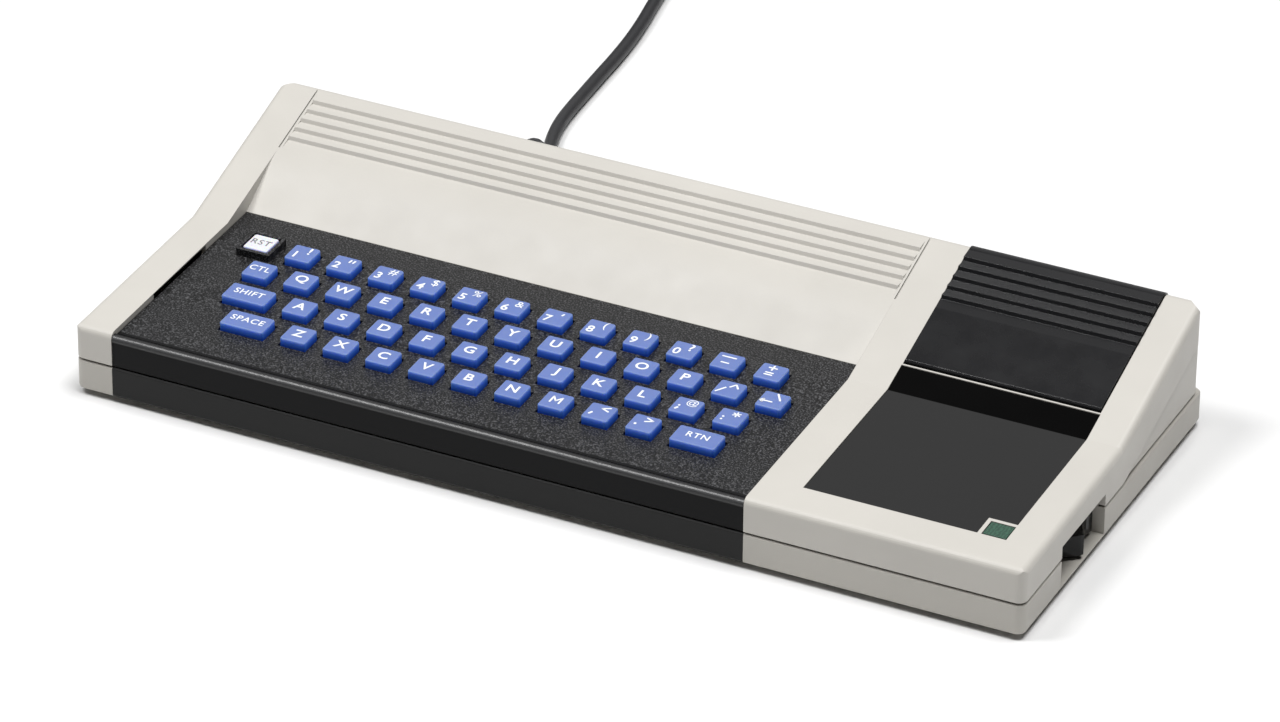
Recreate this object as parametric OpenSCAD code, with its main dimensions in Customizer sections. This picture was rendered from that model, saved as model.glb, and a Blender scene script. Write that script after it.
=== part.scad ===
// Home computer of the early 1980s: a wedge-shaped two-part case with a black
// keyboard deck, rubber keys, a removable cartridge cover, a power rocker on the
// right side, sockets at the back and a captive low-voltage lead with its adapter.
// Lengths are in millimetres. X runs to the right, Y to the back, Z up. The origin
// is on the surface that the feet stand on, under the middle of the case.

/* [Case] */
// Depth of the case at the seam
body_d = 152; // [150:0.5:156]
// Height of the seam above the underside
seam_z = 11.5; // [11.2:0.1:12]
// Width of the groove that shows at the seam
seam_gap = 0.8; // [0.4:0.1:1]
// Wall thickness of both shells
wall = 2.4; // [2:0.1:2.6]
// Radius of the edges around the top
edge_r = 2.5; // [1.5:0.1:3]
// Radius of the upright corners
corner_r = 3.2; // [2:0.1:4]
// Radius of the upper shell's rear corners, seen from above
rear_corner_r = 6; // [3:0.5:7]
// Radius of the edge along the back of the top
back_edge_r = 3.6; // [2:0.1:4]
// Radius of the edge around the underside
foot_edge = 0.9; // [0.4:0.1:1.5]
// Height of the rubber feet
foot_h = 2; // [1:0.5:4]
// Radius of the rubber feet
foot_r = 6; // [4:0.5:7]

/* [Top profile] */
// Height of the top at its front edge, above the underside
front_z = 24.2; // [23.6:0.1:26]
// Distance from the front to where the rear half starts to rise
crease_y = 80.5; // [78:0.5:83]
// Height of the top where the rear half starts to rise
crease_z = 26.2; // [25.8:0.1:27]
// Angle at which the rear half rises
rise_angle = 17.1; // [16:0.1:18]
// How far the back of the raised cap stands in front of the lower shell's back
cap_inset = 2.3; // [1:0.1:2.6]
// Height of the raised cap at the back, down to its lip
cap_h = 15; // [12:0.5:17]
// How far the back panel is set in from the lower shell's back
panel_inset = 4.2; // [3.6:0.1:5]
// Depth of the recess in each side under the raised cap
side_recess = 0.8; // [0.4:0.1:1.2]

/* [Keyboard deck] */
// Width of the rail to the left of the keyboard
rail_w = 14.2; // [13.6:0.1:16]
// Depth of the keyboard deck
deck_d = 93.8; // [92.5:0.1:95]
// Height of the deck at its front
deck_front_z = 22.3; // [22:0.1:22.6]
// How much the deck climbs from front to back
deck_rise = 1.7; // [1:0.1:2.2]
// Thickness of the deck and its front apron
deck_t = 2; // [1.6:0.1:2.2]
// Width of the bead along the front of the deck
bead_w = 3; // [2:0.1:4]
// Height of the bead above the deck
bead_h = 0.9; // [0.4:0.1:1.2]
// Gap between the deck and the case around it
deck_gap = 0.2; // [0.1:0.05:0.3]
// Depth in Y of the steep foot of the rear panel behind the deck
panel_foot_d = 18.4; // [17:0.1:19.4]
// Radius of the bend where the rear panel turns down to the deck
foot_round_r = 40; // [20:1:45]

/* [Keys] */
// Distance between neighbouring keys in a row
pitch_x = 15.9; // [15.6:0.1:16.1]
// Distance between rows
pitch_y = 15.7; // [15.4:0.1:15.9]
// Distance from the rail to the middle of the reset key
first_key_x = 17; // [16.4:0.1:18]
// Distance from the middle of the last key to the block
last_key_x = 16.35; // [15.6:0.05:17]
// Distance along the deck to the middle of the number row
first_row_y = 73.1; // [72:0.1:74]
// Width of an ordinary key
key_w = 9.3; // [8.8:0.1:9.8]
// Depth of every key
key_d = 9.5; // [9:0.1:9.8]
// Width of the shift, space and return keys
wide_key_w = 16.2; // [15:0.1:17]
// Corner radius of a key
key_r = 0.9; // [0.4:0.1:1.5]
// Height of the keys above the deck
key_up = 2.9; // [2.4:0.1:3.6]
// Travel of a key
key_travel = 1.6; // [1.2:0.1:1.8]
// Gap around a key in its hole
key_gap = 0.5; // [0.3:0.05:0.6]
// Width of the flange that keeps a key in its hole, beyond the key on each side
flange_w = 1; // [0.8:0.1:1.1]
// Thickness of that flange
flange_t = 1; // [0.7:0.1:1.2]
// Wall thickness of the raised frame around the reset key
reset_frame_w = 1.3; // [0.8:0.1:1.5]
// Height of that frame above the deck
reset_frame_h = 2.8; // [1.5:0.1:3]

/* [Label and cover] */
// Distance from the left side of the block to the label
label_in_x = 14.2; // [13.8:0.1:15]
// Width of the label
label_w = 70.7; // [70.4:0.1:71]
// Distance from the label to the right side of the case
block_margin = 12.8; // [12.6:0.1:14]
// Distance from the front of the case to the label
label_y = 14.5; // [13:0.5:16]
// Depth of the recess for the label
label_recess = 1; // [0.8:0.05:1.1]
// Thickness of the label
label_t = 0.75; // [0.5:0.05:0.8]
// Width of the power lens
lens_w = 8.6; // [8:0.1:9]
// Depth of the power lens
lens_d = 8.2; // [7.6:0.1:8.6]
// Thickness of the power lens
lens_t = 1.7; // [1.2:0.1:2]
// Gap round the power lens
lens_gap = 0.3; // [0.1:0.05:0.4]
// Width of the border between the lens and the label
lens_border = 1.4; // [1:0.1:1.6]
// Distance from the front of the case to the cartridge bay
bay_y = 92.3; // [92:0.1:93]
// Thickness of the light rib between the label and the bay
bay_rib = 0.5; // [0.4:0.1:1.2]
// Height of the bay's floor above the underside
bay_floor_z = 14; // [13.6:0.1:15]
// Thickness of the bay's walls
bay_wall = 1.6; // [1.4:0.1:1.8]
// Thickness of the cartridge cover
cover_t = 2.6; // [2.4:0.1:3]
// Height of the cover above the case around it
cover_up = 0.7; // [0:0.05:0.8]
// Gap between the cover and the sides of the bay
cover_gap = 0.3; // [0.2:0.05:0.4]
// Gap in front of the cover
cover_front_gap = 0.9; // [0.5:0.1:1.2]
// Height of the flap at the back of the cover
flap_h = 12; // [10:0.5:13]
// Width of the ledges that carry the cover
ledge_w = 1.6; // [1.2:0.1:2]

/* [Steps] */
// Number of steps across the rear panel and the cover
step_n = 5; // [3:1:5]
// Distance between steps, along Y
step_pitch = 4.45; // [4.2:0.05:4.7]
// How far each step stands out of the surface at its front
step_up = 0.7; // [0.4:0.05:0.8]
// How far each step goes under the surface at its back
step_down = 0.5; // [0.3:0.05:0.7]
// Depth of the small leaning wall at the back of each step
step_lean = 0.6; // [0.3:0.1:0.8]
// Gap between the steps and the rail and block beside them
step_in = 1.1; // [0.6:0.1:2]
// Distance from the front of the case to the wall of the first step
step_y = 122.1; // [121:0.1:123]

/* [Power switch] */
// Distance from the front of the case to the finger pocket
pocket_y = 31; // [30:0.5:32]
// Length of the finger pocket
pocket_l = 36; // [35.5:0.5:38]
// Height of the pocket's floor above the underside
pocket_z = 1.2; // [1.2:0.1:1.4]
// Height of the finger pocket
pocket_h = 15.2; // [14.8:0.1:15.6]
// Depth of the pocket into the case
pocket_deep = 9.5; // [9.2:0.1:9.8]
// Distance from the case's side to the rocker's pivot
pivot_in = 8; // [7.8:0.1:8.1]
// Distance from the rear end of the pocket to the rocker's pivot
pivot_from_end = 11; // [10.8:0.1:11.5]
// Height of the rocker
rocker_h = 7.5; // [6.5:0.1:7.8]
// Height of the rocker above the pocket's floor
rocker_up = 1.7; // [1.5:0.1:1.8]
// Radius of the rocker's pins
pin_r = 1.2; // [1:0.1:1.3]
// Gap around the rocker's pins
pin_gap = 0.12; // [0.08:0.02:0.2]

/* [Boards] */
// Thickness of the circuit boards
board_t = 1.6; // [1.2:0.1:1.8]
// Height of the main board's underside above the underside of the case
main_board_z = 6; // [5.6:0.1:6.2]
// Distance from the deck's underside to the keyboard's circuit board
key_board_drop = 3.2; // [3:0.1:3.4]
// Thickness of the rubber key mat
mat_t = 1; // [0.6:0.1:1]

/* [Sockets] */
// Distance from the left side of the case to the power lead
lead_x = 75; // [70:0.5:80]
// Height of the lead and the sockets above the underside
socket_z = 19.2; // [19:0.1:19.6]
// Distance from the left side to the channel switch
channel_x = 112; // [110:0.5:116]
// Travel of the channel switch
channel_travel = 4; // [3:0.5:4]
// Distance from the left side to the television socket
phono_x = 140; // [138:0.5:144]
// Radius of the television socket's barrel
phono_r = 4.15; // [4.1:0.05:4.2]
// Gap around the television socket for its plug
phono_gap = 1; // [0.8:0.1:2]
// Length of the television socket's barrel
phono_l = 8; // [7:0.1:8]
// Distances from the left side to the two round sockets
din_x = 176; // [174:0.5:180]
// Distance between the two round sockets
din_pitch = 26; // [24:0.5:30]
// Radius of a round socket's face
din_r = 7.4; // [6.6:0.1:7.6]
// Gap between a socket and its hole in the back panel
socket_gap = 0.4; // [0.3:0.05:0.6]

/* [Fasteners] */
// Radius of the screw posts
post_r = 3.4; // [3.2:0.1:3.6]
// Radius of a screw's shank
screw_r = 1.4; // [1.2:0.1:1.5]
// Radius of a screw's head
screw_head_r = 2.7; // [2.4:0.1:2.8]
// Length of a screw under its head
screw_l = 14; // [12:0.5:15]
// Gap around a screw
screw_gap = 0.15; // [0.1:0.05:0.3]

/* [Lead and adapter] */
// Diameter of the lead
lead_d = 5; // [4.5:0.1:5.5]
// Length of the strain relief outside the back panel
relief_l = 26.2; // [20:0.2:30]
// Radius of the coil at the middle of its turns
coil_r = 30; // [27:1:30]
// Turns side by side in the coil
coil_across = 4; // [3:1:5]
// Turns on top of each other in the coil
coil_up = 2; // [2:2:4]
// Length of the adapter
adapter_l = 62; // [56:1:70]
// Width of the adapter
adapter_w = 36; // [32:1:40]
// Height of the adapter
adapter_h = 46; // [40:1:48]

/* [Hidden] */
// A length past everything, and a hair that joins touching shapes
through = 60;
skin = 0.01;
rail_rib = 1.8;

// Slot in the rail at the deck's left edge, from slot_deep under the deck to slot_up over it
slot_s = 29;
slot_l = 36;
slot_deep = 3;
slot_up = 1.8;

// Keys beside the reset key in the number row; each row is half a key further right
number_keys = 12;
stagger = pitch_x / 2;

// Widths from left to right, and depths from front to back
block_x = rail_w + first_key_x + stagger + pitch_x * number_keys + last_key_x;
body_w = block_x + label_in_x + label_w + block_margin;
seam_top = seam_z + seam_gap / 2;
seam_low = seam_z - seam_gap / 2;
cap_y = body_d - cap_inset;
panel_y = body_d - panel_inset;
inner_back_y = panel_y - wall;

// Height of the top's outer surface at a distance y from the front
function top_z(y) =
    y < crease_y ? front_z + (crease_z - front_z) * y / crease_y
                 : crease_z + (y - crease_y) * tan(rise_angle);

// Deck: local x to the right, s up along the deck from its front, h out of it
deck_tilt = atan(deck_rise / deck_d);
deck_back_z = deck_front_z + deck_rise;
panel_foot_y = deck_d + panel_foot_d;
// The bend touches the panel's rise at foot_top_y
foot_angle = atan((top_z(panel_foot_y) - deck_back_z) / panel_foot_d);
foot_top_y = panel_foot_y + foot_round_r * tan((foot_angle - rise_angle) / 2) * cos(rise_angle);
cap_lip_z = top_z(cap_y) - cap_h;
recess_front_y = cap_y - (cap_lip_z - seam_top) / tan(rise_angle);

// Label, lens, bay and cover, from the block's left side
label_x = block_x + label_in_x;
label_end_x = label_x + label_w;
bay_in = 0.15;
bay_x = label_x + bay_in;
bay_end_x = label_end_x - bay_in;
label_back_y = bay_y - bay_rib;
lens_x = label_end_x - lens_w;
lens_back_y = label_y + lens_d;
lens_top_z = top_z(label_y) + 0.1;
lens_seat_z = top_z(label_y) + 0.15 - lens_t;
cover_y = bay_y + cover_front_gap;
cover_x = bay_x + cover_gap;
cover_w = bay_end_x - bay_x - 2 * cover_gap;

// Power switch: its plate closes the pocket from inside
rocker_z = pocket_z + rocker_up;
pivot_y = pocket_y + pocket_l - pivot_from_end;
face_x = body_w - pocket_deep;
face_t = 1.4;
seat_gap = 0.1;
lug_t = 1.1;
lug_r = 3;
lug_gap = 0.3;
mouth_front = 12.4;
mouth_back = 10.4;
mouth_deep = 6.6;
switch_lid = 1.6;
terminals_y = [-6, 5];
terminal_size = [6, 0.8, 3.5];
pivot_x = body_w - pivot_in;
// Rocker outline from its pivot: out of the case and to the back
rocker_outline = [
    [7.8, -6], [7.2, -7], [2, -11.2], [-1.5, -11.5], [-1.5, 9.5], [3.6, 9.6],
    [4.6, 8.6], [4, 5], [4.1, 2], [4.8, -0.5], [6.4, -3.8]
];

// Tongue of the lower shell inside the upper one, and the sockets in front of it
tongue_t = 1.2;
tongue_gap = 0.15;
tongue_h = 0.5;
socket_back_y = inner_back_y - tongue_gap - tongue_t - 0.2;

// What stands on the main board: [x, y, width, depth] of the processor, the video,
// sound and memory chips
main_board_top = main_board_z + board_t;
board_edge = 6;
chips = concat(
    [[60, 22, 52, 14], [60, 46, 52, 14], [124, 22, 40, 14], [196, 46, 36, 14], [196, 70, 32, 14]],
    [for (i = [0:3]) [124 + 13 * i, 48, 8, 20]]
);
chip_h = 3.8;
capacitors = [[40, 128], [56, 128]];
capacitor_r = 5;
capacitor_h = 14;
sink_place = [76, 112];
sink_size = [22, 2.5, 15];
regulator_size = [10, 4.5, 11];
lamp_r = 2.5;
lamp_h = 8;
lamp_tip_r = 1.5;
lamp_tip_h = 4;
din_block = [18, 12];
din_block_up = 8.6;
din_pin_r = 0.8;
din_circle_r = 3.6;
din_circle_up = 1;
din_hole_l = 5;

// Television unit: its can reaches left and right of the socket
can_left = 36;
can_right = 16;
can_x = phono_x - can_left;
can_end_x = phono_x + can_right;
can_d = 26;
can_h = 20;
phono_hole_r = 1.6;
phono_hole_l = 14;
slider_w = 5;
slider_h = 3.4;
slider_d = 3.8;
slider_out = 1.2;
slide_gap = 0.2;

// Edge connector: plain stretch of the bay's floor beside it, and its gaps
connector_end = 7;
connector_d = 8.8;
connector_up = 12;
connector_gap = 0.6;
connector_wall = 2;

// Screw posts in the rail, beside the sockets and at both sides of the block
post_front_y = 14;
post_back_y = panel_y - 11;
post_rail_x = (wall + rail_w - rail_rib) / 2;
post_mid_x = (can_end_x + din_x - din_block[0] / 2) / 2;
post_block_x = (block_x + rail_rib + bay_x - bay_wall) / 2;
post_end_x = (bay_end_x + bay_wall + body_w - wall - tongue_gap - tongue_t) / 2;
post_places = concat(
    [for (x = [post_rail_x, post_block_x, post_end_x], y = [post_front_y, post_back_y]) [x, y]],
    [[post_mid_x, post_back_y]]
);
screw_head_h = 1.8;
screw_seat_z = 4;
screw_slot = [3, 0.7, 1.6];
stand_places = [[40, 30], [40, 120], [170, 70], [220, 30], [220, 125], [300, 110]];
stand_r = 3;
foot_in_x = 22;
foot_in_y = 18;

// Keys, row by row from the number row down; each list is left to right
KEY_ROWS = [
    ["key_control", "key_q", "key_w", "key_e", "key_r", "key_t", "key_y", "key_u",
     "key_i", "key_o", "key_p", "key_slash", "key_left_arrow"],
    ["key_shift", "key_a", "key_s", "key_d", "key_f", "key_g", "key_h", "key_j",
     "key_k", "key_l", "key_semicolon", "key_colon"],
    ["key_space", "key_z", "key_x", "key_c", "key_v", "key_b", "key_n", "key_m",
     "key_comma", "key_period", "key_return"]
];
function is_wide(row, i) = (row > 1 && i == 0) || (row == 3 && i == len(KEY_ROWS[2]) - 1);
function key_width(row, i) = is_wide(row, i) ? wide_key_w : key_w;
function wide_shift(row, i) =
    !is_wide(row, i) ? 0 : (i == 0 ? -1 : 1) * (wide_key_w - key_w) / 2;
function key_x(row, i) =
    rail_w + first_key_x + stagger * row + pitch_x * i + wide_shift(row, i);
function key_s(row) = first_row_y - pitch_y * row;
// Every key in the rows as [row, place in the row]
every_key = concat(
    [for (i = [0:number_keys]) [0, i]],
    [for (row = [1:3]) for (i = [0:len(KEY_ROWS[row - 1]) - 1]) [row, i]]
);
key_under = deck_t + 0.1;
key_board_top = -deck_t - key_board_drop;
keyboard_x = rail_w + 5;
keyboard_w = block_x - rail_w - 10;
keyboard_s = 16;
keyboard_d = 68;
// Bosses under the deck that carry the keyboard's board, between the key rows
boss_r = 1.9;
boss_places = [
    for (row = [0:2]) for (share = [0.03, 0.35, 0.65, 0.97])
        [keyboard_x + keyboard_w * share, key_s(row) - pitch_y / 2]
];

// Lead: route of its uncoiled stretch, from the strain relief to the coil, with
// the origin on the floor under the middle of the case
lead_r = lead_d / 2;
relief_neck_r = 3.6;
relief_end_r = lead_r + 0.4;
lead_route = [
    [-97, 98, 21.2], [-97, 102, 21.2], [-97, 106, 21.2], [-97.1, 111, 20.7], [-97.5, 116, 19.1],
    [-98.2, 121, 16.2], [-99.1, 126, 11.8], [-100.2, 131, 7.3], [-101.6, 136, 4.5],
    [-103.3, 141, 3], [-105.2, 146, 2.5], [-108, 155, 2.5], [-109.8, 164, 2.5],
    [-110.8, 173, 2.5], [-111.8, 187, 2.5], [-112.7, 201, 2.5], [-113.6, 216, 2.5],
    [-115, 231, 2.5], [-117.2, 246, 2.5], [-119.8, 260, 2.5], [-122.2, 274, 2.5],
    [-123.8, 288, 2.5], [-124.7, 302, 2.5], [-125, 315, 2.5], [-125, 327, 2.5]
];
// The short stretch from the coil's last turn to the adapter
tail_route = [for (x = [-99:-8:-131]) [x, 299.5, 7.5]];
coil_x = -125 + coil_r + lead_d * (coil_across - 1) / 2;
coil_y = 337;
coil_out_r = coil_r + lead_d * coil_across / 2;
coil_in_r = coil_r - lead_d * coil_across / 2;
coil_top = lead_d * coil_up;
adapter_boot_l = 12;
adapter_from_coil = 55.5;
adapter_x = coil_x - adapter_from_coil - adapter_w;
adapter_r = 3;
blade_gap = 12.7;
blade_l = 17;
blade_t = 1.5;
blade_w = 6.4;
adapter_y = coil_y - coil_out_r + lead_r - adapter_l / 2;

// ---- Helpers ----------------------------------------------------------------

// From the case's front left corner at its underside to the part's own frame
module in_case() {
    translate([-body_w / 2, -body_d / 2, foot_h])
        children();
}

// From the case's frame to the deck's tilted one
module on_deck() {
    translate([0, 0, deck_front_z])
        rotate([deck_tilt, 0, 0])
            children();
}

// An outline drawn in Y and Z, run along X from x0 to x1
module run_x(x0, x1, outline) {
    translate([x0, 0, 0])
        rotate([90, 0, 90])
            linear_extrude(x1 - x0)
                polygon(outline);
}

// A box between two corners
module block(low, high) {
    translate(low)
        cube(high - low);
}

// A cylinder that points to the back
module rod_y(x, y, z, r, l) {
    translate([x, y, z])
        rotate([-90, 0, 0])
            cylinder(r = r, h = l, $fn = 48);
}

module round_rect(w, d, r) {
    square([w - 2 * r, d], center = true);
    square([w, d - 2 * r], center = true);
    for (x = [-1, 1], y = [-1, 1])
        translate([x * (w / 2 - r), y * (d / 2 - r)])
            circle(r, $fn = 32);
}

// Points of an arc in the plane
function arc(cx, cy, r, from, to, steps) = [
    for (i = [0:steps])
        let (a = from + (to - from) * i / steps)
            [cx + r * cos(a), cy + r * sin(a)]
];

// ---- Upper shell ------------------------------------------------------------

corner_steps = 6;
front_tilt = atan((crease_z - front_z) / crease_y);
rear_line_z = crease_z - crease_y * tan(rise_angle);

// A bar as wide as the case with two rounded top edges, run along a slope that
// passes the front at height z
module rounded_run(z, slope) {
    translate([0, 0, z])
        rotate([90 + slope, 0, 0])
            translate([0, -through, -1.3 * body_d])
                linear_extrude(1.5 * body_d) {
                    square([body_w, through - edge_r]);
                    translate([edge_r, 0])
                        square([body_w - 2 * edge_r, through]);
                    for (x = [edge_r, body_w - edge_r])
                        translate([x, through - edge_r])
                            circle(edge_r, $fn = 48);
                }
}

// Middle of the rounded back edge
back_arc_y = cap_y - back_edge_r;
back_arc_z = top_z(back_arc_y) - back_edge_r / cos(rise_angle);

// Side view with the rounded front and back edges, open at the top
shell_profile = concat(
    [[0, seam_top]],
    arc(edge_r, top_z(edge_r) - edge_r, edge_r, 180, 91, corner_steps),
    [[edge_r, through], [back_arc_y, through]],
    arc(back_arc_y, back_arc_z, back_edge_r, 89 + rise_angle, 0, corner_steps),
    [[cap_y, seam_top]]
);

// How far inside the crossing of the top, side and back a rear corner's tip is cut off
tip_off = 1.9;
// What is taken off an upright corner, seen from above, at the origin
module corner_off(r) {
    polygon(concat([[-1, -1]], [[r, -1]], arc(r, r, r, 270, 180, corner_steps), [[-1, r]]));
}

module shell_outside() {
    difference() {
        intersection() {
            union() {
                rounded_run(front_z, front_tilt);
                rounded_run(rear_line_z, rise_angle);
            }
            run_x(-1, body_w + 1, shell_profile);
        }
        for (x = [0, 1], y = [0, 1])
            translate([x * body_w, y * cap_y, seam_top - 1])
                mirror([x, 0, 0])
                    mirror([0, y, 0])
                        linear_extrude(through)
                            corner_off(y == 0 ? corner_r : rear_corner_r);
        // The rear corners' tips
        for (side = [0, 1])
            translate([side * body_w, back_arc_y, back_arc_z + back_edge_r])
                rotate([0, 0, side == 0 ? 135 : 45])
                    rotate([0, acos(sqrt(1 / 3)), 0])
                        translate([-through, -through, -tip_off])
                            cube([2 * through, 2 * through, through]);
    }
}

below = -through;

// Hollow under the rail and the block
hollow_outline = [
    [wall, below], [wall, front_z - wall], [crease_y, crease_z - wall],
    [inner_back_y, top_z(inner_back_y) - wall], [inner_back_y, below]
];
web_t = 1.6;
// Hollow under the rear panel, with its steep foot behind the deck
panel_hollow_outline = [
    [deck_d + web_t, below], [deck_d + web_t, deck_back_z - 0.6],
    [panel_foot_y + 0.6, top_z(panel_foot_y) - wall],
    [inner_back_y, top_z(inner_back_y) - wall], [inner_back_y, below]
];
// What is cut away above the deck and the panel's foot
deck_window_outline = concat(
    [[-1, below], [deck_d, below], [deck_d, deck_back_z]],
    arc(foot_top_y + foot_round_r * sin(rise_angle), top_z(foot_top_y) - foot_round_r * cos(rise_angle),
        foot_round_r, 90 + foot_angle, 90 + rise_angle, 8),
    [[foot_top_y, through], [-1, through]]
);
// Under the cap's lip, at the sides and the back
lip_outline = [
    [recess_front_y, seam_top - 1], [recess_front_y, seam_top],
    [panel_y, cap_lip_z - (cap_y - panel_y) * tan(rise_angle)], [cap_y + 1, cap_lip_z + 0.6],
    [cap_y + 1, seam_top - 1]
];
ledge_t = 1.5;

// Side view of the steps: each one is level and ends at a small leaning wall. They start
// behind the panel's bend and run out into the surface over back_run at the back.
back_run = 4;
step_root = 1.2;
step_start_y = foot_top_y;
step_end_y = step_y + (step_n - 1) * step_pitch + step_lean + back_run;
function steps_line(lift) = concat(
    [[step_start_y, top_z(step_start_y) + lift]],
    [for (i = [0:step_n - 1], wall_side = [0, 1])
        let (y = step_y + i * step_pitch + wall_side * step_lean)
            [y, top_z(y) + lift + (wall_side == 0 ? -step_down : step_up)]],
    [[step_end_y, top_z(step_end_y) + lift]]
);
module steps_bed(x0, x1, low, high) {
    run_x(x0, x1, [
        for (p = [[step_start_y, low], [step_end_y, low], [step_end_y, high], [step_start_y, high]])
            [p[0], top_z(p[0]) + p[1]]
    ]);
}
module panel_steps() {
    run_x(rail_w + step_in, block_x - step_in, concat(
        steps_line(0),
        [for (y = [step_end_y, step_start_y]) [y, top_z(y) - step_root]]
    ));
}

module label_recess_cut() {
    run_x(label_x, label_end_x, [
        [label_y, top_z(label_y) - label_recess], [crease_y, crease_z - label_recess],
        [label_back_y, top_z(label_back_y) - label_recess], [label_back_y, through],
        [label_y, through]
    ]);
}

module lens_corner(grow) {
    block([lens_x - lens_border - grow, label_y - 1, 0],
          [label_end_x + 1, lens_back_y + lens_border + grow, through]);
}

// Side ledges, walls and floor of the cartridge bay
module bay_box() {
    run_x(bay_x - bay_wall, bay_end_x + bay_wall, [
        [bay_y - bay_wall, bay_floor_z - bay_wall],
        [bay_y - bay_wall, top_z(bay_y - bay_wall) - label_recess - 0.2],
        [inner_back_y + 1, top_z(inner_back_y + 1) - 1],
        [inner_back_y + 1, bay_floor_z - bay_wall]
    ]);
}

cover_seat = cover_t - cover_up;
module bay_cut() {
    run_x(bay_x + ledge_w, bay_end_x - ledge_w, [
        [bay_y, bay_floor_z], [bay_y, through], [body_d + 1, through], [body_d + 1, bay_floor_z]
    ]);
    run_x(bay_x, bay_end_x, [
        [bay_y, top_z(bay_y) - cover_seat], [bay_y, through], [body_d + 1, through],
        [body_d + 1, top_z(cap_y) - flap_h - 2], [panel_y - 2, top_z(cap_y) - flap_h - 2],
        [panel_y - 2, top_z(panel_y - 2) - cover_seat]
    ]);
}

// The finger pocket and its walls, for both shells
module pocket_cut() {
    block([face_x - skin, pocket_y, pocket_z],
          [body_w + 1, pocket_y + pocket_l, pocket_z + pocket_h]);
}
pocket_wall = 1.2;
module pocket_box(low_z, high_z) {
    block([face_x, pocket_y - pocket_wall, low_z],
          [body_w - wall + 0.5, pocket_y + pocket_l + pocket_wall, high_z]);
}

module socket_cuts() {
    y = inner_back_y - 2;
    l = wall + 3;
    rod_y(lead_x, y, socket_z, relief_neck_r + socket_gap / 2, l);
    rod_y(phono_x, y, socket_z, phono_r + phono_gap, l);
    for (i = [0:1])
        rod_y(din_x + din_pitch * i, y, socket_z, din_r + socket_gap, l);
    translate([channel_x, panel_y, socket_z])
        cube([slot_w + 0.6, 2 * l, slider_h + 2 * socket_gap], center = true);
}

module upper_posts() {
    for (p = post_places)
        translate([p[0], p[1], seam_low - 1.5])
            cylinder(r = post_r, h = top_z(p[1]) - wall / 2 - seam_low + 1.5, $fn = 32);
}

module upper_post_bores() {
    for (p = post_places)
        translate([p[0], p[1], seam_low - 2])
            cylinder(r = screw_r + screw_gap, h = 10, $fn = 32);
}

module top_case() {
    color("#e2ded7")
    in_case()
    difference() {
        union() {
            panel_steps();
            difference() {
                shell_outside();
                steps_bed(rail_w + step_in, block_x - step_in, -step_root / 2, 2);
                run_x(wall, rail_w - rail_rib, hollow_outline);
                run_x(block_x + rail_rib, body_w - wall, hollow_outline);
                run_x(rail_w, block_x, panel_hollow_outline);
                run_x(rail_w, block_x, deck_window_outline);
            }
            // Ledges that the deck rests on: left, right and rear
            for (x = [rail_w - skin, block_x - 2.5])
                on_deck()
                    block([x, wall + 2, -deck_t - ledge_t], [x + 2.5 + skin, deck_d + web_t, -deck_t]);
            on_deck()
                block([rail_w - skin, deck_d - 2.6, -deck_t - ledge_t],
                      [block_x + skin, deck_d + web_t, -deck_t]);
            bay_box();
            pocket_box(seam_top, pocket_z + pocket_h + pocket_wall);
            upper_posts();
        }
        // Fine lines between the rear panel and the rail and block beside it
        for (x = [rail_w, block_x])
            run_x(x - 0.25, x + 0.25, [
                [foot_top_y, top_z(foot_top_y) - 0.5], [cap_y + 1, top_z(cap_y + 1) - 0.5],
                [cap_y + 1, through], [foot_top_y, through]
            ]);
        difference() {
            label_recess_cut();
            lens_corner(0);
        }
        block([lens_x, label_y, lens_seat_z], [label_end_x, lens_back_y, through]);
        // Light well under the lens
        translate([lens_x + lens_w / 2, label_y + lens_d / 2, seam_top])
            cylinder(r = 2.8, h = front_z, $fn = 32);
        bay_cut();
        // Opening in the bay's floor for the connector
        block([bay_x + connector_end - connector_gap, bay_y + connector_gap, seam_top - 1],
              [bay_end_x - connector_end + connector_gap, bay_y + connector_d + 3 * connector_gap,
               bay_floor_z + 1]);
        pocket_cut();
        for (x0 = [-1, body_w - side_recess])
            run_x(x0, x0 + side_recess + 1, lip_outline);
        block([-1, panel_y, seam_top - 1],
              [body_w + 1, body_d, cap_lip_z - (cap_y - panel_y) * tan(rise_angle)]);
        run_x(-1, body_w + 1, [
            [panel_y, seam_top], [panel_y, cap_lip_z - 1.2], [cap_y + 1, cap_lip_z + 0.6],
            [cap_y + 1, seam_top]
        ]);
        // Slot in the rail beside the deck
        on_deck()
            block([rail_w - rail_rib - 1, slot_s, -slot_deep], [rail_w + 1, slot_s + slot_l, slot_up]);
        socket_cuts();
        upper_post_bores();
    }
}

// ---- Keyboard deck ----------------------------------------------------------

bezel_x = rail_w + deck_gap;
bezel_end_x = block_x - deck_gap;
bezel_back_s = (deck_d - deck_gap) / cos(deck_tilt);
bead_r = 1.8;
bead_back_r = 0.7;
bead_groove = 0.6;
bead_groove_w = 1.1;
bead_over = 0.3;
bead_z = deck_front_z + bead_h;
function deck_z(y) = deck_front_z + y * tan(deck_tilt);
bezel_outline = concat(
    [[bead_over, seam_top], [bead_over, bead_z - bead_r - 2 * bead_over]],
    arc(bead_r, bead_z - bead_r, bead_r, 180, 90, 8),
    arc(bead_w - bead_back_r, bead_z - bead_back_r, bead_back_r, 90, 20, 4),
    [[bead_w + 0.1, deck_z(bead_w) - bead_groove],
     [bead_w + bead_groove_w, deck_z(bead_w) - bead_groove],
     [bead_w + bead_groove_w, deck_z(bead_w + bead_groove_w)],
     [deck_d - deck_gap, deck_z(deck_d - deck_gap)],
     [deck_d - deck_gap, deck_z(deck_d - deck_gap) - deck_t], [deck_t, deck_z(deck_t) - deck_t],
     [deck_t, seam_top]]
);

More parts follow.
